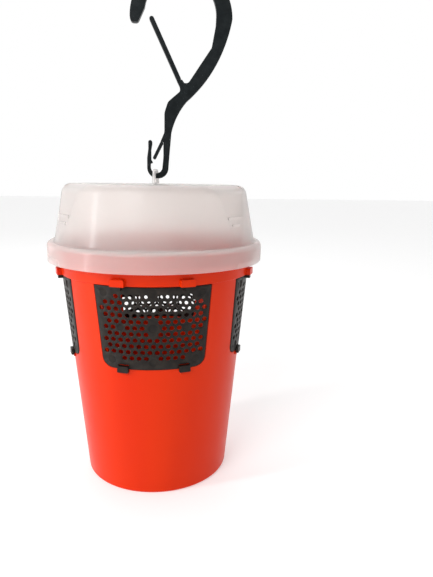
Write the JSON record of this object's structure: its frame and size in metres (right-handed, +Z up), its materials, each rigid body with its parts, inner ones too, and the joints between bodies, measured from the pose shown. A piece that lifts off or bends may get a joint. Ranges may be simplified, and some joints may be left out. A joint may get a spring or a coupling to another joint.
{
  "type": "hanging insect trap",
  "caption": "Tapered bucket trap with a translucent domed lid, perforated entry grilles that swing on hinge tabs, liquid bait, and a tree hook with spring gates.",
  "frame": {"origin": "centre of the bucket's foot, on the surface that it stands on", "axes": "+Z up along the bucket's axis; -Y is the front, where the first grille is; the tree hook is flat in the XZ plane and its crook bends over towards -X"},
  "size_m": [0.17, 0.1703, 0.3963],
  "materials": {
    "bucket_red": "glossy moulded polypropylene, orange red",
    "lid_clear": "milky translucent polypropylene",
    "eye_clear": "milky translucent polypropylene",
    "grille_black": "fine matt moulded plastic, brownish black",
    "hook_black": "satin moulded plastic, blue black",
    "bait": "brown liquid"
  },
  "bodies": {
    "bucket": {"bucket_body": "bucket_red", "bait_liquid": "bait"},
    "lid": {"lid": "lid_clear", "hanging_eye": "eye_clear"},
    "front_grille": {"grille_front": "grille_black"},
    "right_grille": {"grille_right": "grille_black"},
    "back_grille": {"grille_back": "grille_black"},
    "left_grille": {"grille_left": "grille_black"},
    "hook": {"tree_hook": "hook_black"},
    "branch_gate": {"hook_branch_gate": "hook_black"},
    "eye_gate": {"hook_eye_gate": "hook_black"}
  },
  "joints": [
    {"name": "lid_lift", "type": "slide", "parent": "bucket", "child": "lid", "axis": [0, 0, 1], "range_m": [0, 0.09]},
    {"name": "front_grille_swing", "type": "hinge", "parent": "bucket", "child": "front_grille", "pos_m": [0, -0.0743, 0.168], "axis": [-1, 0, 0], "range_deg": [0, 28]},
    {"name": "right_grille_swing", "type": "hinge", "parent": "bucket", "child": "right_grille", "pos_m": [0.0743, 0, 0.168], "axis": [0, -1, 0], "range_deg": [0, 28]},
    {"name": "back_grille_swing", "type": "hinge", "parent": "bucket", "child": "back_grille", "pos_m": [0, 0.0743, 0.168], "axis": [1, 0, 0], "range_deg": [0, 28]},
    {"name": "left_grille_swing", "type": "hinge", "parent": "bucket", "child": "left_grille", "pos_m": [-0.0743, 0, 0.168], "axis": [0, 1, 0], "range_deg": [0, 28]},
    {"name": "hook_swing", "type": "hinge", "parent": "lid", "child": "hook", "pos_m": [0, 0, 0.24625], "axis": [0.1392, 0.9903, 0], "range_deg": [-88, 55]},
    {"name": "branch_gate_flex", "type": "hinge", "parent": "hook", "child": "branch_gate", "pos_m": [0.0183, 0, 0.3148], "axis": [0, 1, 0], "range_deg": [-5, 28], "stiffness_Nm_per_rad": 0.02},
    {"name": "eye_gate_flex", "type": "hinge", "parent": "hook", "child": "eye_gate", "pos_m": [0.005, 0, 0.2672], "axis": [0, 1, 0], "range_deg": [-18, 3], "stiffness_Nm_per_rad": 0.01}
  ]
}
